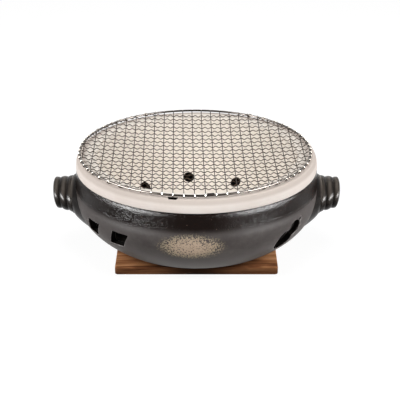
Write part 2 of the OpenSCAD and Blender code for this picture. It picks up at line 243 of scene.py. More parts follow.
def stoneware_glaze():
    """Iron-black stoneware glaze, dipped and fired: satin and slate grey on the body, lighter towards the
    foot, glassy and near black where it pooled on the collar.

    On the front a wax-resist patch leaves the buff clay showing through in fine specks.
    """
    material, tree, place = start_material("iron_black_stoneware_glaze")
    parts = add(tree, "ShaderNodeSeparateXYZ", {"Vector": place})
    # The fire left clouds about 40 mm across in it, which break up finely
    cloud = add(tree, "ShaderNodeTexNoise", {
        "Vector": place, "Scale": scale_for(41.7), "Detail": 7.0, "Roughness": 0.72,
    })
    tone = add(
        tree, "ShaderNodeValToRGB", {"Fac": cloud},
        stops=[(0.32, "#3f3937"), (0.5, "#4c4644"), (0.68, "#595350")],
    )
    # Towards the foot it is lighter. It pooled on the collar, whose lower edge wanders a little
    lighter_share = add(tree, "ShaderNodeMapRange", {
        "Value": parts.outputs["Z"], "From Min": 58 * MM, "From Max": 30 * MM,
    })
    tone = add(tree, "ShaderNodeMix", {
        "Factor": lighter_share, COLOUR_A: tone, COLOUR_B: linear("#605b58"),
    }, data_type="RGBA").outputs[COLOUR_OUT]
    wander = add(tree, MATHS, {0: cloud, 1: 8 * MM, 2: parts.outputs["Z"]}, operation="MULTIPLY_ADD")
    collar = add(tree, "ShaderNodeMapRange", {
        "Value": wander, "From Min": (collar_z - 6) * MM, "From Max": (collar_z + 5) * MM,
    }, interpolation_type="SMOOTHSTEP")
    pooled = add(tree, "ShaderNodeMix", {
        "Factor": collar, COLOUR_A: tone, COLOUR_B: linear("#120703"),
    }, data_type="RGBA").outputs[COLOUR_OUT]
    patch, shown = wax_resist_patch(tree, place, parts)
    buff = add(
        tree, "ShaderNodeValToRGB", {"Fac": patch},
        stops=[(0.1, "#8d8269"), (0.45, "#a6967c"), (0.9, "#c3ab93")],
    )
    colour = add(tree, "ShaderNodeMix", {
        "Factor": shown, COLOUR_A: pooled, COLOUR_B: buff,
    }, data_type="RGBA").outputs[COLOUR_OUT]
    # A few iron specks have spat through the collar: of cells about 5 mm wide, one in three holds one
    spots = add(tree, "ShaderNodeTexVoronoi", {
        "Vector": place, "Scale": scale_for(4.762), "Randomness": 1.0,
    })
    spot = add(tree, MATHS, {0: spots.outputs["Distance"], 1: 0.13}, operation="LESS_THAN")
    chance = add(tree, "ShaderNodeSeparateColor", {"Color": spots.outputs["Color"]})
    kept = add(tree, MATHS, {0: chance, 1: 0.65}, operation="GREATER_THAN")
    spot = add(tree, MATHS, {0: spot, 1: kept}, operation="MULTIPLY")
    spot = add(tree, MATHS, {0: spot, 1: collar}, operation="MULTIPLY")
    colour = add(tree, "ShaderNodeMix", {
        "Factor": spot, COLOUR_A: colour, COLOUR_B: linear("#55453b"),
    }, data_type="RGBA").outputs[COLOUR_OUT]
    gloss = add(tree, "ShaderNodeMapRange", {"Value": collar, "To Min": 0.48, "To Max": 0.085})
    gloss = add(tree, MATHS, {0: shown, 1: 0.3, 2: gloss}, operation="MULTIPLY_ADD")
    # Orange peel of the fired glaze: dimples about 1.3 mm apart, deepest where it pooled
    peel = add(tree, "ShaderNodeTexNoise", {
        "Vector": place, "Scale": scale_for(1.3158), "Detail": 1.0, "Roughness": 0.5,
    })
    depth = add(tree, "ShaderNodeMapRange", {"Value": collar, "To Min": 0.15, "To Max": 1.0})
    bump = add(tree, "ShaderNodeBump", {"Height": peel, "Strength": depth, "Distance": 0.52 * MM})
    end_material(tree, add(tree, "ShaderNodeBsdfPrincipled", {
        "Base Color": colour, "Roughness": gloss, "Specular IOR Level": 0.08, "Normal": bump,
    }))
    return material


def handle_glaze_coat():
    """The same glaze on the hand-pulled handles: wet-looking, pooled black in the valleys between the ribs
    and grey on their crests, partly where it runs off them and partly as a painted highlight, strongest on
    their top half, where light from above falls.
    """
    material, tree, place = start_material("iron_black_handle_glaze")
    parts = add(tree, "ShaderNodeSeparateXYZ", {"Vector": place})
    # Its clouds are nearly two ribs wide, about 17 mm
    cloud = add(tree, "ShaderNodeTexNoise", {
        "Vector": place, "Scale": scale_for(16.67), "Detail": 3.0, "Roughness": 0.6,
    })
    pooled = add(tree, "ShaderNodeValToRGB", {"Fac": cloud}, stops=[(0.35, "#0d0907"), (0.65, "#17120f")])
    out = add(tree, MATHS, {0: parts.outputs["X"]}, operation="ABSOLUTE")
    phase = add(tree, "ShaderNodeMapRange", {
        "Value": out, "From Min": lug_in_x * MM, "From Max": lug_tip_x * MM, "To Max": math.pi * lug_ribs,
    })
    crest = add(tree, MATHS, {0: phase}, operation="SINE")
    crest = add(tree, MATHS, {0: crest}, operation="ABSOLUTE")
    crest = add(tree, MATHS, {0: crest, 1: 2.0}, operation="POWER")
    # Painted highlight: the crests are lighter on their top half, where light from above falls on them
    painted_light_from_above = add(tree, "ShaderNodeMapRange", {
        "Value": parts.outputs["Z"], "From Min": (lug_z - 6) * MM, "From Max": (lug_z + 13) * MM,
        "To Min": 0.05,
    })
    lighter_share = add(tree, MATHS, {0: crest, 1: painted_light_from_above}, operation="MULTIPLY")
    tone = add(tree, "ShaderNodeMix", {
        "Factor": lighter_share, COLOUR_A: pooled, COLOUR_B: linear("#57504a"),
    }, data_type="RGBA").outputs[COLOUR_OUT]
    # Orange peel again, softer and wider than on the collar: dimples about 2.4 mm apart
    peel = add(tree, "ShaderNodeTexNoise", {"Vector": place, "Scale": scale_for(2.381), "Detail": 2.0})
    bump = add(tree, "ShaderNodeBump", {"Height": peel, "Strength": 0.15, "Distance": 0.6 * MM})
    end_material(tree, add(tree, "ShaderNodeBsdfPrincipled", {
        "Base Color": tone, "Roughness": 0.27, "Specular IOR Level": 0.06, "Normal": bump,
    }))
    return material


def fireclay():
    """Sintered fireclay, cast and sponged: matt and chalky, whitest in the chamber, painted shade on top."""
    material, tree, place = start_material("sintered_fireclay")
    parts = add(tree, "ShaderNodeSeparateXYZ", {"Vector": place})
    # The sponge left smudges about 45 mm across
    smudge = add(tree, "ShaderNodeTexNoise", {
        "Vector": place, "Scale": scale_for(45.45), "Detail": 3.0, "Roughness": 0.6,
    })
    tone = add(
        tree, "ShaderNodeValToRGB", {"Fac": smudge},
        stops=[(0.3, "#f1e5dc"), (0.5, "#f6ebe3"), (0.7, "#f9f1ea")],
    )
    # Painted shade: the ring's top and the top of its outer face are darker, as if the light came mostly
    # from the sides
    ring_top_painted_shade = add(tree, "ShaderNodeMapRange", {
        "Value": parts.outputs["Z"], "From Min": (ring_z - 7.5) * MM, "From Max": (ring_z - 4.5) * MM,
    })
    colour = add(tree, "ShaderNodeMix", {
        "Factor": ring_top_painted_shade, COLOUR_A: tone, COLOUR_B: linear("#d7cbc2"),
    }, data_type="RGBA").outputs[COLOUR_OUT]
    flat = add(tree, "ShaderNodeVectorMath", {0: place, 1: (1, 1, 0)}, operation="MULTIPLY")
    reach = add(tree, "ShaderNodeVectorMath", {0: flat}, operation="LENGTH").outputs["Value"]
    wander = add(tree, MATHS, {0: smudge, 1: 3 * MM, 2: reach}, operation="MULTIPLY_ADD")
    inside = add(tree, "ShaderNodeMapRange", {
        "Value": wander, "From Min": (ring_top_r - 9) * MM, "From Max": (ring_top_r - 4) * MM,
        "To Min": 1.0, "To Max": 0.0,
    })
    colour = add(tree, "ShaderNodeMix", {
        "Factor": inside, COLOUR_A: colour, COLOUR_B: linear("#f6eee4"),
    }, data_type="RGBA").outputs[COLOUR_OUT]
    # The real pores are about 0.3 mm wide, and are drawn coarser so that they show
    pores = add(tree, "ShaderNodeTexNoise", {
        "Vector": place, "Scale": scale_for(1.111), "Detail": 2.0, "Roughness": 0.6,
    })
    # Painted shade: the pores are darker where the bump sinks into them
    pore_painted_shade = add(tree, "ShaderNodeMapRange", {"Value": pores, "From Min": 0.3, "From Max": 0.24, "To Max": 0.5})
    colour = add(tree, "ShaderNodeMix", {
        "Factor": pore_painted_shade, COLOUR_A: colour, COLOUR_B: linear("#a89a8c"),
    }, data_type="RGBA").outputs[COLOUR_OUT]
    bump = add(tree, "ShaderNodeBump", {"Height": pores, "Strength": 0.25, "Distance": 0.4 * MM})
    end_material(tree, add(tree, "ShaderNodeBsdfPrincipled", {
        "Base Color": colour, "Roughness": 0.85, "Specular IOR Level": 0.15, "Normal": bump,
    }))
    return material


def mottled_clay(name, size, detail, stops, roughness, specular):
    """A fired surface in a cut, matt or satin, whose tone varies with a fine grain of a size in mm."""
    material, tree, place = start_material(name)
    grain = add(tree, "ShaderNodeTexNoise", {"Vector": place, "Scale": scale_for(size), "Detail": detail})
    tone = add(tree, "ShaderNodeValToRGB", {"Fac": grain}, stops=stops)
    end_material(tree, add(tree, "ShaderNodeBsdfPrincipled", {
        "Base Color": tone, "Roughness": roughness, "Specular IOR Level": specular,
    }))
    return material


def steel_wire(name, dark, light, painted_front_tone, painted_side_tone, above):
    """Galvanised steel wire, drawn and crimped, from dark to light.

    Round the rim, higher than above (in mm from the rim wire's middle), it takes painted light and shade:
    the front tone in front and behind, and the side tone towards the left and right.
    """
    material, tree, place = start_material(name)
    # The zinc's crystals are about 3 mm across
    spangle = add(tree, "ShaderNodeTexNoise", {"Vector": place, "Scale": scale_for(2.857), "Detail": 2.0})
    tone = add(tree, "ShaderNodeValToRGB", {"Fac": spangle}, stops=[(0.35, dark), (0.65, light)])
    middle = add(tree, "ShaderNodeVectorMath", {0: place, 1: (-net_x * MM, 0, 0)}, operation="ADD")
    flat = add(tree, "ShaderNodeVectorMath", {0: middle, 1: (1, 1, 0)}, operation="MULTIPLY")
    reach = add(tree, "ShaderNodeVectorMath", {0: flat}, operation="LENGTH").outputs["Value"]
    hooked = add(tree, "ShaderNodeMapRange", {
        "Value": reach, "From Min": (net_r - 2.4) * MM, "From Max": (net_r - 1.2) * MM,
    })
    parts = add(tree, "ShaderNodeSeparateXYZ", {"Vector": place})
    # Painted light: above this height the tops of the hooks and the rim take the painted tones
    high = add(tree, MATHS, {0: parts.outputs["Z"], 1: (net_z + above) * MM}, operation="GREATER_THAN")
    hooked = add(tree, MATHS, {0: hooked, 1: high}, operation="MULTIPLY")
    aside = add(tree, MATHS, {0: parts.outputs["X"]}, operation="ABSOLUTE")
    aside = add(tree, "ShaderNodeMapRange", {"Value": aside, "From Min": 42 * MM, "From Max": 60 * MM})
    rim = add(tree, "ShaderNodeMix", {
        "Factor": aside, COLOUR_A: linear(painted_front_tone), COLOUR_B: linear(painted_side_tone),
    }, data_type="RGBA").outputs[COLOUR_OUT]
    colour = add(tree, "ShaderNodeMix", {
        "Factor": hooked, COLOUR_A: tone, COLOUR_B: rim,
    }, data_type="RGBA").outputs[COLOUR_OUT]
    gloss = add(tree, "ShaderNodeMapRange", {"Value": spangle, "To Min": 0.3, "To Max": 0.5})
    end_material(tree, add(tree, "ShaderNodeBsdfPrincipled", {
        "Base Color": colour, "Metallic": 1.0, "Roughness": gloss,
    }))
    return material


def stained_wood():
    """Stained cedar, planed and oiled: the grain runs left to right in uneven dark bands."""
    material, tree, place = start_material("stained_cedar")
    # The year rings cut the face in bands about 11 mm apart, drawn out eleven times along the board
    along = add(tree, "ShaderNodeMapping", {"Vector": place, "Scale": (0.09, 1.0, 1.0)})
    bands = add(tree, "ShaderNodeTexNoise", {
        "Vector": along, "Scale": scale_for(11.11), "Detail": 4.0, "Roughness": 0.6, "Distortion": 0.4,
    })
    tone = add(
        tree, "ShaderNodeValToRGB", {"Fac": bands},
        stops=[(0.3, "#583724"), (0.45, "#94603f"), (0.55, "#c3895d"), (0.7, "#dcab82")],
    )
    # The real pores are about 0.2 mm wide, and are drawn coarser so that they show
    pores_place = add(tree, "ShaderNodeMapping", {"Vector": place, "Scale": (0.04, 1.0, 1.0)})
    pores = add(tree, "ShaderNodeTexNoise", {
        "Vector": pores_place, "Scale": scale_for(1.111), "Detail": 2.0,
    })
    dark = add(tree, "ShaderNodeMapRange", {
        "Value": pores, "From Min": 0.42, "From Max": 0.3, "To Max": 0.55,
    })
    colour = add(tree, "ShaderNodeMix", {
        "Factor": dark, COLOUR_A: tone, COLOUR_B: linear("#2e1a0e"),
    }, data_type="RGBA").outputs[COLOUR_OUT]
    # The sides are darker, partly from stain that they soak up and partly as painted shade.
    # A painted shadow of the bowl darkens the wood round its foot and the board's front edge before it
    parts = add(tree, "ShaderNodeSeparateXYZ", {"Vector": place})
    sides_stain_and_shade = add(tree, "ShaderNodeMapRange", {
        "Value": parts.outputs["Z"], "From Min": (board_high[2] - 0.9) * MM,
        "From Max": (board_high[2] - 1.5) * MM, "To Max": 0.5,
    })
    # Painted shadow of the bowl: darkest within about 96 mm of the middle, fading out by 140 mm
    bowl_painted_shadow = add(tree, "ShaderNodeVectorMath", {0: place, 1: (1.25, 1, 0)}, operation="MULTIPLY")
    bowl_painted_shadow = add(tree, "ShaderNodeVectorMath", {0: bowl_painted_shadow}, operation="LENGTH").outputs["Value"]
    bowl_painted_shadow = add(tree, "ShaderNodeMapRange", {
        "Value": bowl_painted_shadow, "From Min": 140 * MM, "From Max": 96 * MM, "To Max": 0.85,
    })
    stain_and_painted_shade = add(tree, MATHS, {0: sides_stain_and_shade, 1: bowl_painted_shadow}, operation="MAXIMUM")
    both = add(tree, MATHS, {0: sides_stain_and_shade, 1: bowl_painted_shadow}, operation="MULTIPLY")
    stain_and_painted_shade = add(tree, MATHS, {0: both, 1: 0.45, 2: stain_and_painted_shade}, operation="MULTIPLY_ADD")
    colour = add(tree, "ShaderNodeMix", {
        "Factor": stain_and_painted_shade, COLOUR_A: colour, COLOUR_B: linear("#24130a"),
    }, data_type="RGBA").outputs[COLOUR_OUT]
    bump = add(tree, "ShaderNodeBump", {"Height": pores, "Strength": 0.3, "Distance": 0.4 * MM})
    end_material(tree, add(tree, "ShaderNodeBsdfPrincipled", {
        "Base Color": colour, "Roughness": 0.5, "Specular IOR Level": 0.04, "Normal": bump,
    }))
    return material


bowl_glaze = stoneware_glaze()
handle_glaze = handle_glaze_coat()
pale_clay = fireclay()
# Unglazed dark stoneware inside the vents, cut while leather-hard: rough, and painted near black as
# painted shade, because no light falls in there
dark_clay_painted_shade = mottled_clay(
    "dark_stoneware_painted_shade", size=2, detail=2.0, stops=[(0.35, "#080605"), (0.65, "#110e0c")],
    roughness=0.9, specular=0.03,
)
# The dipped glaze where it ran off the vents' cut edges in the kiln: thin, satin and paler than the rest
edge_glaze = mottled_clay(
    "glaze_thin_over_edges", size=3.333, detail=2.0, stops=[(0.35, "#6a6462"), (0.65, "#8c8684")],
    roughness=0.5, specular=0.08,
)
# Fireclay in the air holes and notches, painted black as painted shade where no light falls: dead matt
hole_painted_shade = mottled_clay(
    "fireclay_painted_shade_black", size=2.5, detail=3.0, stops=[(0.35, "#060504"), (0.7, "#12100e")],
    roughness=0.95, specular=0.02,
)
# The mesh is dark brown, and the tops of its hooks carry a painted highlight: white in front and behind,
# grey towards the left and right
mesh_steel = steel_wire(
    "dark_steel_wire_painted_hook_highlight", dark="#1d1610", light="#3c3129",
    painted_front_tone="#f0eeea", painted_side_tone="#8f8a83", above=0.7,
)
# The whole of the rim wire lies above this height, so it takes the two rim tones all round: near black
# in front and behind as painted shade and a dark painted reflection, paler to the sides as a painted
# reflection of the lamps
rim_steel = steel_wire(
    "galvanised_rim_wire", dark="#3a3532", light="#4e4945",
    painted_front_tone="#26221f", painted_side_tone="#45413e", above=-9,
)
board_wood = stained_wood()

# ---------------------------------------------------------------- mesh helpers

# Edges that bend by more than this many degrees stay sharp
CREASE = 32


def make_piece(name, points, faces, materials, crease=CREASE):
    """A mesh object from points in mm, with its faces turned outwards and smooth up to a crease angle."""
    mesh = bpy.data.meshes.new(name)
    mesh.from_pydata([tuple(p) for p in np.asarray(points) * MM], [], faces)
    finish_mesh(mesh, materials, crease)
    piece = bpy.data.objects.new(name, mesh)
    scene.collection.objects.link(piece)
    return piece


def finish_mesh(mesh, materials, crease=CREASE):
    """Merges doubles, turns the faces outwards, adds materials and shades smooth up to a crease angle."""
    work = bmesh.new()
    work.from_mesh(mesh)
    bmesh.ops.remove_doubles(work, verts=work.verts, dist=1e-6)
    bmesh.ops.recalc_face_normals(work, faces=work.faces)
    if work.calc_volume(signed=True) < 0:
        bmesh.ops.reverse_faces(work, faces=work.faces)
    work.to_mesh(mesh)
    work.free()
    for material in materials:
        if material.name not in mesh.materials:
            mesh.materials.append(material)
    mesh.shade_smooth()
    mesh.set_sharp_from_angle(angle=math.radians(crease))


def loft(rings, start=None, end=None):
    """Points and faces of a skin over closed rings, with a pole or a flat cap at each end."""
    rings = [np.asarray(ring) for ring in rings]
    n = len(rings[0])
    points = np.concatenate(rings)
    faces = []
    for k in range(len(rings) - 1):
        for i in range(n):
            j = (i + 1) % n
            faces.append((k * n + i, k * n + j, (k + 1) * n + j, (k + 1) * n + i))
    for base, pole in ((0, start), ((len(rings) - 1) * n, end)):
        if pole is None:
            faces.append(tuple(range(base, base + n)))
        else:
            points = np.vstack([points, pole])
            faces += [(base + i, base + (i + 1) % n, len(points) - 1) for i in range(n)]
    return points, faces


def rounded(corners, steps=5):
    """A path through (x, y, radius) corners, with each corner rounded by about its radius."""
    path = []
    for i, (x, y, radius) in enumerate(corners):
        here = np.array([x, y], float)
        if radius == 0 or i in (0, len(corners) - 1):
            path.append(here)
            continue
        before = np.array(corners[i - 1][:2], float) - here
        after = np.array(corners[i + 1][:2], float) - here
        cut_b = min(radius, np.linalg.norm(before) * 0.48)
        cut_a = min(radius, np.linalg.norm(after) * 0.48)
        a = here + before / np.linalg.norm(before) * cut_b
        b = here + after / np.linalg.norm(after) * cut_a
        for t in np.linspace(0, 1, steps + 1):
            path.append((1 - t) ** 2 * a + 2 * t * (1 - t) * here + t * t * b)
    return np.array(path)


def filled(path, step):
    """The path with points added so that none is further than a step from the next."""
    out = [path[0]]
    for a, b in zip(path[:-1], path[1:]):
        count = max(1, math.ceil(np.linalg.norm(b - a) / step))
        out += [a + (b - a) * k / count for k in range(1, count + 1)]
    return np.array(out)


def bezier(p0, p1, p2, p3, steps):
    """Points along a cubic Bezier curve."""
    t = np.linspace(0, 1, steps + 1)[:, None]
    p0, p1, p2, p3 = map(np.array, (p0, p1, p2, p3))
    return (1 - t) ** 3 * p0 + 3 * t * (1 - t) ** 2 * p1 + 3 * t * t * (1 - t) * p2 + t**3 * p3


def turned(profile, segments):
    """A solid turned on the wheel from a profile of (radius, height) that starts and ends on the axis."""
    angle = np.linspace(0, 2 * math.pi, segments, endpoint=False)
    rings = [
        np.stack([r * np.cos(angle), r * np.sin(angle), np.full(segments, z)], axis=1)
        for r, z in profile[1:-1]
    ]
    return loft(rings, (0, 0, profile[0][1]), (0, 0, profile[-1][1]))


def hand_finish(points, amount, size):
    """Moves points sideways by a slow noise, as on a form that was thrown and sponged by hand."""
    out = np.array(points, float)
    for i, p in enumerate(out):
        at = Vector(p) / size
        sway = noise.noise(at) * amount
        flat = math.hypot(p[0], p[1]) or 1.0
        out[i, 0] += sway * p[0] / flat
        out[i, 1] += sway * p[1] / flat
    return out


def cut(piece, cutters):
    """Cuts the cutters out of the piece. Cut faces keep the cutters' materials."""
    for cutter in cutters:
        change = piece.modifiers.new("cut", "BOOLEAN")
        change.operation = "DIFFERENCE"
        change.solver = "EXACT"
        change.object = cutter
        change.material_mode = "TRANSFER"
    graph = bpy.context.evaluated_depsgraph_get()
    mesh = bpy.data.meshes.new_from_object(piece.evaluated_get(graph))
    piece.modifiers.clear()
    piece.data = mesh
    finish_mesh(mesh, [])
    for cutter in cutters:
        bpy.data.objects.remove(cutter)


def through_cutter(name, outline, turn, z, outside, inside, lip, skin, materials):
    """A cutter through a round wall, flared at both faces so that it leaves rounded edges.

    outline gives the opening's points, grown by a distance, in the plane that faces the direction
    turn. outside and inside give the wall's two radii at a height. materials are those of the lips,
    of the wall's first few millimetres, down to the depth skin, and of the wall behind them.
    """
    rounds = np.linspace(0, math.pi / 2, 4)
    clear = 1.2
    levels = [(outside, -lip * (1 - math.cos(a)), lip * (1 - math.sin(a))) for a in rounds]
    levels.append((outside, -skin, 0))
    levels += [(inside, lip * (1 - math.cos(a)), lip * (1 - math.sin(a))) for a in rounds[::-1]]
    levels = [(outside, clear, lip + 0.5)] + levels + [(inside, -clear, lip + 0.5)]
    spin = math.radians(turn)
    forward = np.array([math.sin(spin), -math.cos(spin)])
    side = np.array([math.cos(spin), math.sin(spin)])
    rings = []
    for face, height, grow in levels:
        flat = outline(grow)
        up = z + flat[:, 1]
        away = np.sqrt((face(up) + height) ** 2 - flat[:, 0] ** 2)
        place = away[:, None] * forward + flat[:, 0][:, None] * side
        rings.append(np.column_stack([place, up]))
    # Flat ends, well clear of the wall on both sides
    for ring, reach in ((rings[0], 12), (rings[-1], -12)):
        away = ring[:, :2] @ forward
        flat_away = away.max() + reach if reach > 0 else away.min() + reach
        moved = ring.copy()
        moved[:, :2] += (flat_away - away)[:, None] * forward
        rings.insert(0 if reach > 0 else len(rings), moved)
    points, faces = loft(rings)
    cutter = make_piece(name, points, faces, materials)
    slots = [cutter.data.materials.find(material.name) for material in materials]
    skin_band = len(rounds) + 1
    for k, polygon in enumerate(cutter.data.polygons):
        band = k // len(rings[0])
        polygon.material_index = slots[1 if band == skin_band else 2 if band == skin_band + 1 else 0]
    return cutter


def evened(path, count, soften):
    """A closed outline as evenly spaced points, with its corners softened over a distance."""
    closed = np.vstack([path, path[:1]])
    lengths = np.concatenate([[0], np.cumsum(np.linalg.norm(np.diff(closed, axis=0), axis=1))])
    at = np.linspace(0, lengths[-1], count, endpoint=False)
    out = np.column_stack([np.interp(at, lengths, closed[:, k]) for k in (0, 1)])
    step = at[1]
    reach = int(3 * soften / step) + 1
    shifts = range(-reach, reach + 1)
    weights = [math.exp(-0.5 * (shift * step / soften) ** 2) for shift in shifts]
    return sum(w * np.roll(out, shift, axis=0) for w, shift in zip(weights, shifts)) / sum(weights)


def place_piece(piece, body, slot, *nodes):
    """Puts a finished piece on its body, in place of the CAD nodes it dresses."""
    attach(piece, body)
    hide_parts(*nodes)


# ---------------------------------------------------------------- board


def make_board():
    """The board: planed, with eased edges and slightly rounded corners."""
    half = (board_high[:2] - board_low[:2]) / 2
    angle = np.linspace(0, math.pi / 2, 5)
    quarter = np.column_stack([np.cos(angle), np.sin(angle)]) - 1
    outline = []
    for k in range(4):
        spin = k * math.pi / 2
        c, s = round(math.cos(spin)), round(math.sin(spin))
        reach = half if k % 2 == 0 else half[::-1]
        x, y = (reach + quarter * board_corner).T
        outline.append(np.column_stack([c * x - s * y, s * x + c * y]))
    outline = filled(np.vstack(outline + [outline[0][:1]]), step=12)[:-1]
    rounds = np.linspace(0, math.pi / 2, 4)
    levels = [(board_low[2] + board_ease, a) for a in rounds - math.pi / 2]
    levels += [(board_high[2] - board_ease, a) for a in rounds]
    rings = []
    for z, a in levels:
        shrunk = outline * (1 - board_ease * (1 - math.cos(a)) / half.max())
        rings.append(np.column_stack([shrunk, np.full(len(outline), z + board_ease * math.sin(a))]))
    points, faces = loft(rings)
    return make_piece("wooden_board", points, faces, [board_wood], crease=50)


# ---------------------------------------------------------------- bowl

outer_side = bezier(
    (base_r, under_z), (base_r + base_sweep, under_z + base_sweep_rise),
    (bowl_r, belly_z - belly_depth), (bowl_r, belly_z), 40,
)
inner_side = bezier(
    (base_r - 0.6 * bowl_wall, floor_z),
    (base_r + base_sweep - 0.3 * bowl_wall, floor_z + base_sweep_rise),
    (bowl_r - bowl_wall, belly_z - belly_depth + bowl_wall / 2), (bowl_r - bowl_wall, belly_z), 40,
)
collar_path = [
    (rim_r - rim_round * (1 - math.cos(a)), rim_z - rim_fall * (1 - math.sin(a)))
    for a in np.linspace(0, math.pi / 2, 13)
]
side_path = np.vstack([outer_side, collar_path])


def bowl_outside(z):
    """The outer radius of the bowl's wall at a height."""
    return np.interp(z, side_path[:, 1], side_path[:, 0])


def bowl_inside(z):
    """The inner radius of the bowl's wall at a height."""
    path = np.vstack([inner_side, [(mouth_r, rim_z)]])
    return np.interp(z, path[:, 1], path[:, 0])


def bowl_profile():
    """The bowl's section, from the middle of its underside round the rim to the middle of its floor."""
    lean = collar_lean * (collar_z - belly_z) / (rim_z - rim_fall - belly_z)
    foot = rounded([
        (0, under_z, 0), (foot_in_r, under_z, 1.2), (foot_in_r, foot_z, 1.0), (foot_out_r, foot_z, 1.0),
        (foot_out_r, under_z, 1.2), (base_r, under_z, 0),
    ])
    collar_start = rounded([
        (bowl_r, belly_z, 0), (bowl_r - lean, collar_z - 2, 4),
        (bowl_r - lean - collar_step, collar_z + 2, 4), collar_path[0] + (0,),
    ])
    mouth = rounded([collar_path[-1] + (0,), (mouth_r, rim_z, 1.0), (bowl_r - bowl_wall, belly_z, 0)])
    path = np.vstack([
        foot[:-1], outer_side[:-1], collar_start[:-1], collar_path[:-1], mouth[:-1],
        inner_side[::-1], [(0, floor_z)],
    ])
    return filled(path, step=3.0)


def square_outline(grow):
    """A square vent: its sides lean, it narrows downwards and its foot slopes."""
    half_w, half_h = square_w / 2 + grow, square_h / 2 + grow
    half_foot, half_skew = half_w - square_taper / 2, square_skew / 2
    corners = np.array([
        (-half_w, half_h), (-half_foot - square_lean, -half_h - half_skew),
        (half_foot - square_lean, -half_h + half_skew), (half_w, half_h),
    ])
    return evened(corners, count=120, soften=0.8)


def gourd_outline(grow):
    """A gourd: a large and a small circle that overlap, and a short stem, all leaning to the right."""
    low, top, stem, step = gourd_low_r + grow, gourd_top_r + grow, gourd_stem_w / 2 + grow, gourd_step
    waist_y = (step**2 + low**2 - top**2) / (2 * step)
    waist_x = math.sqrt(low**2 - waist_y**2)
    low_end = math.atan2(waist_y, waist_x)
    top_start = math.atan2(waist_y - step, waist_x)
    top_end = math.acos(stem / top)
    right = [(low * math.cos(a), low * math.sin(a)) for a in np.linspace(-math.pi / 2, low_end, 40)]
    right += [
        (top * math.cos(a), step + top * math.sin(a)) for a in np.linspace(top_start, top_end, 24)[1:]
    ]
    right += [(stem, step + top + gourd_stem)]
    path = np.array(right + [(-x, y) for x, y in right[::-1]][:-1])
    lean = math.radians(gourd_lean)
    c, s = math.cos(lean), math.sin(lean)
    return evened(path @ np.array([(c, -s), (s, c)]), count=200, soften=0.7)


def make_bowl():
    """The outer bowl, thrown and turned, with its vents cut through."""
    points, faces = turned(bowl_profile(), segments=288)
    points = hand_finish(points, amount=0.22, size=45)
    bowl = make_piece("stoneware_bowl", points, faces, [bowl_glaze])
    vent_materials = [edge_glaze, handle_glaze, dark_clay_painted_shade]
    vents = [(square_outline, turn, square_rise, square_lip) for turn in square_turns]
    vents.append((gourd_outline, gourd_turn, gourd_rise, gourd_lip))
    cut(bowl, [
        through_cutter(
            "vent_cutter", outline, turn, foot_z + rise, bowl_outside, bowl_inside, lip, vent_skin,
            vent_materials,
        )
        for outline, turn, rise, lip in vents
    ])
    return bowl


# ---------------------------------------------------------------- handles


def side_x(y, z):
    """How far to the right the bowl's side lies, with the handle's gap, at a depth and a height."""
    return np.sqrt((bowl_outside(z) + lug_gap) ** 2 - y**2)


def make_handle(name, mirror):
    """A ribbed lug: three soft ribs that shrink to the tip, and a flared foot that spreads on the bowl."""
    count = 96
    angle = np.linspace(0, 2 * math.pi, count, endpoint=False)
    c, s = np.cos(angle), np.sin(angle)
    foot_middle = lug_z - lug_root_drop

    def foot(f):
        """The back face on the bowl's side, from its middle, f = 0, to its edge, f = 1."""
        y, z = f * lug_root_a * c, foot_middle + f * lug_root_b * s
        return np.column_stack([side_x(y, z), y, z])

    def body(f, drawn=1.0, x_share=None):
        """A section of the ribbed part, from f = 0 at the bowl to f = 1 at the tip, drawn in at its end."""
        dip = lug_valley * (1 - abs(math.sin(math.pi * lug_ribs * f)) ** 0.6)
        a = drawn * (lug_in_a + (lug_tip_a - lug_in_a) * f - dip)
        b = drawn * (lug_in_b + (lug_tip_b - lug_in_b) * f - dip)
        z = b * s
        x = lug_in_x + (lug_tip_x - lug_in_x) * (f if x_share is None else x_share)
        tilt = math.tan(math.radians(lug_tilt))
        return np.column_stack([x + z * tilt, a * c, lug_z - lug_in_drop * (1 - f) + z])

    def flare(f):
        """Hollowed at the sides and full under the ribs, with a crease before the innermost rib."""
        root, rib = foot(1.0), body(0.5 / lug_ribs)
        crease = 1 - lug_crease * math.exp(-(((f - lug_crease_at) / lug_crease_w) ** 2))
        y = (root[:, 1] + (rib[:, 1] - root[:, 1]) * f**1.3) * crease
        z = lug_z + (root[:, 2] + (rib[:, 2] - root[:, 2]) * f**1.3 - lug_z) * crease
        stand = rib[:, 0] - side_x(rib[:, 1], rib[:, 2])
        hollow = 1.5 + (0.7 - 1.5) * np.maximum(0, -s)
        return np.column_stack([side_x(y, z) + stand * f**hollow, y, z])

    crest = (lug_ribs - 0.5) / lug_ribs
    rings = [foot(k / 14) for k in range(1, 15)]
    rings += [flare(k / 30) for k in range(1, 30)]
    rings += [body(f) for f in np.linspace(0.5 / lug_ribs, crest, 54)]
    rings += [
        body(crest, math.cos(turn), crest + (1 - crest) * math.sin(turn))
        for turn in np.linspace(0, math.pi / 2, 14)[1:-1]
    ]
    rings = np.array(rings)
    if mirror:
        rings[:, :, 0] *= -1
    flip = -1 if mirror else 1
    start = (flip * side_x(0.0, foot_middle), 0, foot_middle)
    end = (flip * lug_tip_x, 0, lug_z - lug_in_drop * (1 - crest))
    points, faces = loft(rings, start, end)
    return make_piece(name, points, faces, [handle_glaze], crease=50)


# ---------------------------------------------------------------- fire bowl


def liner_radius(z):
    """The outer radius of the fire bowl's wall at a height."""
    return chamber_floor_r + (np.asarray(z) - chamber_z) * chamber_slope + liner_level


chamber_corners = [(chamber_floor_r, chamber_z, chamber_round), (0, chamber_z, 0)]
chamber_path = rounded([(mouth_edge_r, ring_z, 0)] + chamber_corners, steps=14)[::-1]


def chamber_side(z):
    """The inner radius of the fire bowl's wall at a height."""
    return np.interp(z, chamber_path[:, 1], chamber_path[:, 0])


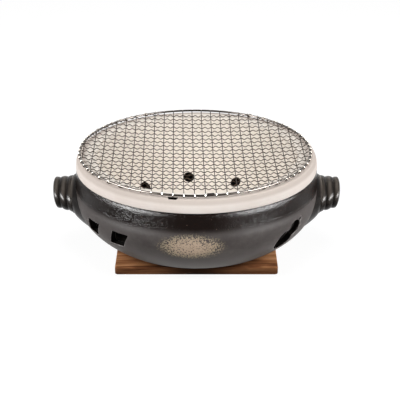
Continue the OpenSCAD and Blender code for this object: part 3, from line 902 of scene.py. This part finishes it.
def fire_bowl_profile():
    """The fire bowl's section, from the middle of its underside round the ring to the chamber's floor."""
    spigot_r = mouth_r - mouth_clear
    fall = rim_z - flange_fall
    section = rounded([
        (0, liner_z, 0), (liner_radius(liner_z), liner_z, 6), (liner_radius(fall), fall, 4),
        (spigot_r, rim_z - spigot_h, 2), (spigot_r, rim_z, 0.6), (ring_r - 0.3, rim_z, 0.7),
        (ring_r, rim_z + 2.4, 1.5), (ring_r - 0.8, rim_z + 9.5, 3), (ring_top_r, ring_z, 2.4),
        (mouth_edge_r, ring_z, 3.5),
    ] + chamber_corners, steps=14)
    return filled(section, step=3.5)


def notch_cutter(name, length, width, inset, turn):
    """A cutter for a blind notch in the ring's top, with a rounded lip and sides that draw in."""
    corners = np.array([(-1, -1), (1, -1), (1, 1), (-1, 1)]) * (length / 2, width / 2)
    outline = evened(corners, count=64, soften=0.45)
    middle = inset - ring_top_r
    spin = math.radians(turn)
    rings = []
    for up, grow in ((3, 1.0), (0, 0.5), (-0.3, 0.15), (-0.8, 0.0), (-6, -0.3)):
        x, y = (outline * (1 + 2 * grow / width)).T
        y = y + middle
        rings.append(np.column_stack([
            x * math.cos(spin) - y * math.sin(spin), x * math.sin(spin) + y * math.cos(spin),
            np.full(len(x), ring_z + up),
        ]))
    points, faces = loft(rings)
    return make_piece(name, points, faces, [hole_painted_shade])


def make_fire_bowl():
    """The fire bowl, with its air holes and notches cut."""
    points, faces = turned(fire_bowl_profile(), segments=288)
    points = hand_finish(points, amount=0.35, size=60)
    clay = make_piece("fireclay_bowl", points, faces, [pale_clay])
    circle = np.linspace(0, 2 * math.pi, 48, endpoint=False)
    # Flattened, so that the holes come out round on the slope of the chamber's side
    circle = np.column_stack([np.cos(circle), np.sin(circle) * air_hole_flat])
    cutters = [
        through_cutter(
            f"air_cutter_{k}", lambda grow: circle * (air_hole_r + grow),
            180 + air_hole_turn + 360 / air_holes * k, air_hole_z, liner_radius, chamber_side,
            air_hole_lip, air_hole_skin, [pale_clay, hole_painted_shade, hole_painted_shade],
        )
        for k in range(air_holes)
    ]
    cutters += [notch_cutter(name, *sizes) for name, sizes in notches.items()]
    cut(clay, cutters)
    return clay


# ---------------------------------------------------------------- net


def add_inputs(tree, **names):
    """Gives a geometry tree its inputs, as lists of names by kind, and returns their sockets."""
    for kind in names:
        for name in names[kind]:
            tree.interface.new_socket(name=name, in_out="INPUT", socket_type=f"NodeSocket{kind}")
    return tree.nodes.new("NodeGroupInput").outputs


def end_tree(tree, last):
    """Leads a node's geometry to the tree's only output."""
    tree.interface.new_socket(name="Geometry", in_out="OUTPUT", socket_type="NodeSocketGeometry")
    add(tree, "NodeGroupOutput", {"Geometry": last})


def wire_set_tree():
    """Parallel crimped wires across a dished net, whose ends lead up over the rim wire and hook round it."""
    tree = bpy.data.node_groups.new("crimped_wire_set", "GeometryNodeTree")
    size = add_inputs(tree, Int=["Wires"], Float=[
        "First wire", "Spacing", "Net radius", "Wire radius", "Hook radius", "Hook length", "Sag",
        "Crimp height", "Crimp spacing", "Crimp start", "Crimp slant", "Crimp phase",
    ])
    reach = add(tree, MATHS, {0: size["Net radius"], 1: size["Hook length"]}, operation="ADD")
    back = add(tree, MATHS, {0: reach, 1: -1.0}, operation="MULTIPLY")
    full = add(tree, MATHS, {0: reach, 1: 2.0}, operation="MULTIPLY")
    step = add(tree, MATHS, {0: full, 1: mesh_points - 1}, operation="DIVIDE")
    line = add(tree, "GeometryNodeMeshLine", {
        "Count": mesh_points, "Start Location": add(tree, "ShaderNodeCombineXYZ", {"X": back}),
        "Offset": add(tree, "ShaderNodeCombineXYZ", {"X": step}),
    })
    places = add(tree, "GeometryNodeMeshLine", {
        "Count": size["Wires"],
        "Start Location": add(tree, "ShaderNodeCombineXYZ", {"Y": size["First wire"]}),
        "Offset": add(tree, "ShaderNodeCombineXYZ", {"Y": size["Spacing"]}),
    })
    wires = add(tree, "GeometryNodeInstanceOnPoints", {"Points": places, "Instance": line})
    wires = add(tree, "GeometryNodeRealizeInstances", {"Geometry": wires})
    here = add(tree, "ShaderNodeSeparateXYZ", {"Vector": add(tree, "GeometryNodeInputPosition")})
    x, y = here.outputs["X"], here.outputs["Y"]
    along = add(tree, MATHS, {0: x}, operation="ABSOLUTE")
    side = add(tree, MATHS, {0: x}, operation="SIGN")
    # How far along its wire the rim lies, and how much the rim's section is drawn out there
    rim_squared = add(tree, MATHS, {0: size["Net radius"], 1: size["Net radius"]}, operation="MULTIPLY")
    y_squared = add(tree, MATHS, {0: y, 1: y}, operation="MULTIPLY")
    edge = add(tree, MATHS, {0: rim_squared, 1: y_squared}, operation="SUBTRACT")
    edge = add(tree, MATHS, {0: edge}, operation="SQRT")
    drawn = add(tree, MATHS, {0: size["Net radius"], 1: edge}, operation="DIVIDE")
    drawn = add(tree, MATHS, {0: drawn, 1: hook_stretch}, operation="MINIMUM")
    past = add(tree, MATHS, {0: along, 1: edge}, operation="SUBTRACT")
    drop = add(tree, MATHS, {0: past, 1: size["Hook length"]}, operation="GREATER_THAN")
    # The hook: past the rim, the wire turns on a circle about the rim wire's middle
    turn = add(tree, MATHS, {0: past, 1: size["Hook radius"]}, operation="DIVIDE")
    turn = add(tree, MATHS, {0: hook_start, 1: turn}, operation="SUBTRACT")
    hook_x = add(tree, MATHS, {0: turn}, operation="COSINE")
    hook_x = add(tree, MATHS, {0: hook_x, 1: size["Hook radius"]}, operation="MULTIPLY")
    hook_x = add(tree, MATHS, {0: hook_x, 1: drawn, 2: edge}, operation="MULTIPLY_ADD")
    hook_z = add(tree, MATHS, {0: turn}, operation="SINE")
    hook_z = add(tree, MATHS, {0: hook_z, 1: size["Hook radius"]}, operation="MULTIPLY")
    # The dish and the crimp, which is in step with the wires that cross
    reach_squared = add(tree, MATHS, {0: x, 1: x, 2: y_squared}, operation="MULTIPLY_ADD")
    dish = add(tree, MATHS, {0: reach_squared, 1: rim_squared}, operation="DIVIDE")
    dish = add(tree, MATHS, {0: dish, 1: 1.0}, operation="SUBTRACT")
    dish = add(tree, MATHS, {0: dish, 1: size["Sag"]}, operation="MULTIPLY")
    cells = add(tree, MATHS, {0: y, 1: size["Crimp slant"], 2: x}, operation="MULTIPLY_ADD")
    cells = add(tree, MATHS, {0: cells, 1: size["Crimp start"]}, operation="SUBTRACT")
    cells = add(tree, MATHS, {0: cells, 1: size["Crimp spacing"]}, operation="DIVIDE")
    row = add(tree, MATHS, {0: y, 1: size["First wire"]}, operation="SUBTRACT")
    row = add(tree, MATHS, {0: row, 1: size["Spacing"]}, operation="DIVIDE")
    row = add(tree, MATHS, {0: row}, operation="ROUND")
    wave = add(tree, MATHS, {0: cells, 1: half_waves, 2: row}, operation="MULTIPLY_ADD")
    wave = add(tree, MATHS, {0: wave, 1: math.pi, 2: size["Crimp phase"]}, operation="MULTIPLY_ADD")
    wave = add(tree, MATHS, {0: wave}, operation="COSINE")
    level = add(tree, MATHS, {0: wave, 1: size["Crimp height"], 2: dish}, operation="MULTIPLY_ADD")
    # Towards the rim the wire leads up to the top of its hook
    lead = add(tree, "ShaderNodeMapRange", {
        "Value": past, "From Min": -lead_w * MM, "From Max": 0.0,
    }, interpolation_type="SMOOTHSTEP")
    top = add(tree, MATHS, {0: size["Hook radius"], 1: math.sin(hook_start)}, operation="MULTIPLY")
    inner_z = add(tree, "ShaderNodeMix", {0: lead, 2: level, 3: top}, data_type="FLOAT")
    inner_x = add(tree, MATHS, {0: size["Hook radius"], 1: math.cos(hook_start)}, operation="MULTIPLY")
    inner_x = add(tree, MATHS, {0: inner_x, 1: lead, 2: along}, operation="MULTIPLY_ADD")
    hooked = add(tree, MATHS, {0: past, 1: 0.0}, operation="GREATER_THAN")
    new_x = add(tree, "ShaderNodeMix", {0: hooked, 2: inner_x, 3: hook_x}, data_type="FLOAT")
    new_x = add(tree, MATHS, {0: new_x, 1: side}, operation="MULTIPLY")
    new_z = add(tree, "ShaderNodeMix", {0: hooked, 2: inner_z, 3: hook_z}, data_type="FLOAT")
    wires = add(tree, "GeometryNodeDeleteGeometry", {"Geometry": wires, "Selection": drop}, domain="POINT")
    wires = add(tree, "GeometryNodeSetPosition", {
        "Geometry": wires, "Position": add(tree, "ShaderNodeCombineXYZ", {"X": new_x, "Y": y, "Z": new_z}),
    })
    paths = add(tree, "GeometryNodeMeshToCurve", {"Mesh": wires})
    section = add(tree, "GeometryNodeCurvePrimitiveCircle", {
        "Resolution": mesh_sides, "Radius": size["Wire radius"],
    })
    tubes = add(tree, "GeometryNodeCurveToMesh", {
        "Curve": paths, "Profile Curve": section, "Fill Caps": True,
    })
    end_tree(tree, tubes)
    return tree


def net_tree(wire_set):
    """The whole net: a rim wire, long wires front to back, and cross wires left to right."""
    tree = bpy.data.node_groups.new("wire_net", "GeometryNodeTree")
    size = add_inputs(tree, Int=["Long wires", "Cross wires"], Float=[
        "Net radius", "Rim wire diameter", "Mesh wire diameter", "Sag", "Skew", "First long wire",
        "Long spacing", "Long crimp", "First cross wire", "Cross spacing", "Cross crimp",
    ], Vector=["Centre", "Turn"], Material=["Mesh steel", "Rim steel"])
    wire_r = add(tree, MATHS, {0: size["Mesh wire diameter"], 1: 0.5}, operation="MULTIPLY")
    rim_wire_r = add(tree, MATHS, {0: size["Rim wire diameter"], 1: 0.5}, operation="MULTIPLY")
    hook_r = add(tree, MATHS, {0: wire_r, 1: rim_wire_r}, operation="ADD")
    shared = {
        "Net radius": size["Net radius"], "Wire radius": wire_r, "Hook radius": hook_r,
        "Hook length": add(tree, MATHS, {0: hook_r, 1: hook_length}, operation="MULTIPLY"),
        "Sag": size["Sag"],
    }
    # Out of square, the two sets meet further along each other from wire to wire
    stretch = add(tree, MATHS, {0: size["Skew"]}, operation="COSINE")
    stretch = add(tree, MATHS, {0: 1.0, 1: stretch}, operation="DIVIDE")
    slant = add(tree, MATHS, {0: size["Skew"]}, operation="TANGENT")
    back_slant = add(tree, MATHS, {0: slant, 1: -1.0}, operation="MULTIPLY")

    def stretched(name):
        """One of the net's sizes, drawn out as the skew draws it out along the other set."""
        return add(tree, MATHS, {0: size[name], 1: stretch}, operation="MULTIPLY")

    cross = add(tree, "GeometryNodeGroup", {
        **shared, "Wires": size["Cross wires"], "First wire": size["First cross wire"],
        "Spacing": size["Cross spacing"], "Crimp height": size["Cross crimp"],
        "Crimp spacing": stretched("Long spacing"), "Crimp start": stretched("First long wire"),
        "Crimp slant": slant, "Crimp phase": 0.0,
    }, node_tree=wire_set)
    turn_back = add(tree, MATHS, {0: size["Skew"], 1: -1.0}, operation="MULTIPLY")
    turn_back = add(tree, "ShaderNodeCombineXYZ", {"Z": turn_back})
    cross = add(tree, "GeometryNodeTransform", {"Geometry": cross, "Rotation": turn_back})
    # The long set is made along X and turned a quarter, so it counts its wires from the right
    spaces = add(tree, MATHS, {0: size["Long wires"], 1: 1.0}, operation="SUBTRACT")
    last = add(tree, MATHS, {
        0: spaces, 1: size["Long spacing"], 2: size["First long wire"],
    }, operation="MULTIPLY_ADD")
    last = add(tree, MATHS, {0: last, 1: -1.0}, operation="MULTIPLY")
    long_set = add(tree, "GeometryNodeGroup", {
        **shared, "Wires": size["Long wires"], "First wire": last, "Spacing": size["Long spacing"],
        "Crimp height": size["Long crimp"], "Crimp spacing": stretched("Cross spacing"),
        "Crimp start": stretched("First cross wire"), "Crimp slant": back_slant, "Crimp phase": math.pi,
    }, node_tree=wire_set)
    long_set = add(tree, "GeometryNodeTransform", {"Geometry": long_set, "Rotation": (0, 0, math.pi / 2)})
    circle = add(tree, "GeometryNodeCurvePrimitiveCircle", {
        "Resolution": rim_points, "Radius": size["Net radius"],
    })
    section = add(tree, "GeometryNodeCurvePrimitiveCircle", {
        "Resolution": rim_sides, "Radius": rim_wire_r,
    })
    rim = add(tree, "GeometryNodeCurveToMesh", {"Curve": circle, "Profile Curve": section})
    rim = add(tree, "GeometryNodeSetMaterial", {"Geometry": rim, "Material": size["Rim steel"]})
    sets = tree.nodes.new("GeometryNodeJoinGeometry")
    for part in (cross, long_set):
        tree.links.new(part.outputs[0], sets.inputs[0])
    sets = add(tree, "GeometryNodeSetMaterial", {"Geometry": sets, "Material": size["Mesh steel"]})
    whole = tree.nodes.new("GeometryNodeJoinGeometry")
    for part in (sets, rim):
        tree.links.new(part.outputs[0], whole.inputs[0])
    seat = add(tree, "GeometryNodeTransform", {
        "Geometry": whole, "Translation": size["Centre"], "Rotation": size["Turn"],
    })
    smooth = add(tree, "GeometryNodeSetShadeSmooth", {"Geometry": seat, "Shade Smooth": True})
    real = add(tree, "GeometryNodeRealizeInstances", {"Geometry": smooth})
    end_tree(tree, real)
    return tree


def make_net():
    """The net as a plain mesh, made by its tree at the sizes above."""
    holder = bpy.data.objects.new("net_maker", bpy.data.meshes.new("net_maker"))
    scene.collection.objects.link(holder)
    change = holder.modifiers.new("net", "NODES")
    change.node_group = net_tree(wire_set_tree())
    values = {
        "Net radius": net_r * MM, "Rim wire diameter": rim_wire * MM, "Mesh wire diameter": mesh_wire * MM,
        "Sag": net_sag * MM, "Long wires": long_count, "First long wire": (left_edge - mesh_r) * MM,
        "Long spacing": (2 * mesh_r - left_edge - right_edge) / (long_count - 1) * MM,
        "Cross wires": cross_count, "First cross wire": (front_edge - mesh_r) * MM,
        "Cross spacing": (2 * mesh_r - front_edge - back_edge) / (cross_count - 1) * MM,
        "Skew": math.radians(net_skew), "Long crimp": long_crimp * MM, "Cross crimp": cross_crimp * MM,
        "Centre": (net_x * MM, 0, net_z * MM), "Turn": (0, 0, math.radians(net_turn)),
        "Mesh steel": mesh_steel, "Rim steel": rim_steel,
    }
    for item in change.node_group.interface.items_tree:
        if item.in_out == "INPUT":
            change[item.identifier] = values[item.name]
    graph = bpy.context.evaluated_depsgraph_get()
    mesh = bpy.data.meshes.new_from_object(holder.evaluated_get(graph))
    net = bpy.data.objects.new("crimped_wire_net", mesh)
    mesh.name = "crimped_wire_net"
    scene.collection.objects.link(net)
    bpy.data.objects.remove(holder)
    return net


# ---------------------------------------------------------------- the pieces, each on its body

place_piece(make_board(), "board", "board_wood", "board")
place_piece(make_bowl(), "bowl", "bowl_glaze", "outer_bowl")
place_piece(make_handle("ribbed_handle_right", False), "bowl", "handle_glaze", "handle_right")
place_piece(make_handle("ribbed_handle_left", True), "bowl", "handle_glaze", "handle_left")
place_piece(make_fire_bowl(), "fire_bowl", "fireclay", "fire_bowl")
net_nodes = [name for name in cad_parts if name.startswith("net_")]
place_piece(make_net(), "net", "net_wire", *net_nodes)

# ---------------------------------------------------------------- floor and light


def shows_white(tree):
    """1 for rays from the camera, reflected or refracted, which see the plain white room; 0 for light."""
    ray = add(tree, "ShaderNodeLightPath")
    clear = add(tree, MATHS, {
        0: ray.outputs["Is Camera Ray"], 1: ray.outputs["Is Glossy Ray"],
    }, operation="MAXIMUM")
    return add(tree, MATHS, {0: clear, 1: ray.outputs["Is Transmission Ray"]}, operation="MAXIMUM")


# Pale paper, a backdrop roll: a grey bounce for the object, and nearly white with a faint shadow to look at
floor_material, floor_tree, _ = start_material("pale_backdrop_paper")
bounce = add(floor_tree, "ShaderNodeBsdfDiffuse", {"Color": (0.55, 0.55, 0.55, 1)})
shadow = add(floor_tree, "ShaderNodeBsdfDiffuse", {"Color": (0.2, 0.2, 0.2, 1)})
white = add(floor_tree, "ShaderNodeEmission", {"Color": (1, 1, 1, 1), "Strength": 0.88})
white = add(floor_tree, "ShaderNodeAddShader", {0: shadow, 1: white})
paper = add(floor_tree, "ShaderNodeMixShader", {0: shows_white(floor_tree), 1: bounce, 2: white})
end_material(floor_tree, paper)
# Its half width is in metres, as are the lamps' sizes and distances
floor_half = 12
floor_corners = [(-1, -1, 0), (1, -1, 0), (1, 1, 0), (-1, 1, 0)]
floor_mesh = bpy.data.meshes.new("floor")
floor_mesh.from_pydata([Vector(p) * floor_half for p in floor_corners], [], [(0, 1, 2, 3)])
floor_mesh.materials.append(floor_material)
floor = bpy.data.objects.new("floor", floor_mesh)
scene.collection.objects.link(floor)

world = bpy.data.worlds.new("soft_room")
scene.world = world
world.use_nodes = True
sky = world.node_tree
sky.nodes.clear()
strength = add(sky, "ShaderNodeMapRange", {"Value": shows_white(sky), "To Min": 0.28, "To Max": 1.0})
soft_light = add(sky, "ShaderNodeBackground", {"Color": (1, 1, 1, 1), "Strength": strength})
add(sky, "ShaderNodeOutputWorld", {"Surface": soft_light})


def softbox(name, turn, rise, away, width, height, power, glints_on=None):
    """A softbox that faces the object, at a direction from the front, a rise and a distance.

    With glints_on, it only shows as a glint in that collection's pieces, and lights nothing.
    """
    light = bpy.data.lights.new(name, "AREA")
    light.shape = "RECTANGLE"
    light.size, light.size_y = width, height
    light.energy = power
    lamp = bpy.data.objects.new(name, light)
    turn, rise = math.radians(turn), math.radians(rise)
    way = Vector((math.sin(turn) * math.cos(rise), -math.cos(turn) * math.cos(rise), math.sin(rise)))
    lamp.location = Vector((0, 0, 0.09)) + way * away
    lamp.rotation_euler = way.to_track_quat("Z", "Y").to_euler()
    if glints_on is not None:
        lamp.visible_diffuse = False
        lamp.light_linking.receiver_collection = glints_on
    scene.collection.objects.link(lamp)


softbox("softbox_left", turn=-60, rise=32, away=1.7, width=0.6, height=0.6, power=14.5)
softbox("softbox_right", turn=60, rise=32, away=1.7, width=0.6, height=0.6, power=14.5)
softbox("softbox_top", turn=180, rise=84, away=1.55, width=1.1, height=1.1, power=7.5)
# Narrow reflectors that only glint in glaze and wire, and add no light to wood and fireclay
glossy_pieces = bpy.data.collections.new("glossy_pieces")
for name in ("stoneware_bowl", "ribbed_handle_left", "ribbed_handle_right", "crimped_wire_net"):
    glossy_pieces.objects.link(bpy.data.objects[name])
for name, turn in (("glint_left", -60), ("glint_right", 60)):
    softbox(name, turn, rise=9, away=1.7, width=1.2, height=0.5, power=260, glints_on=glossy_pieces)
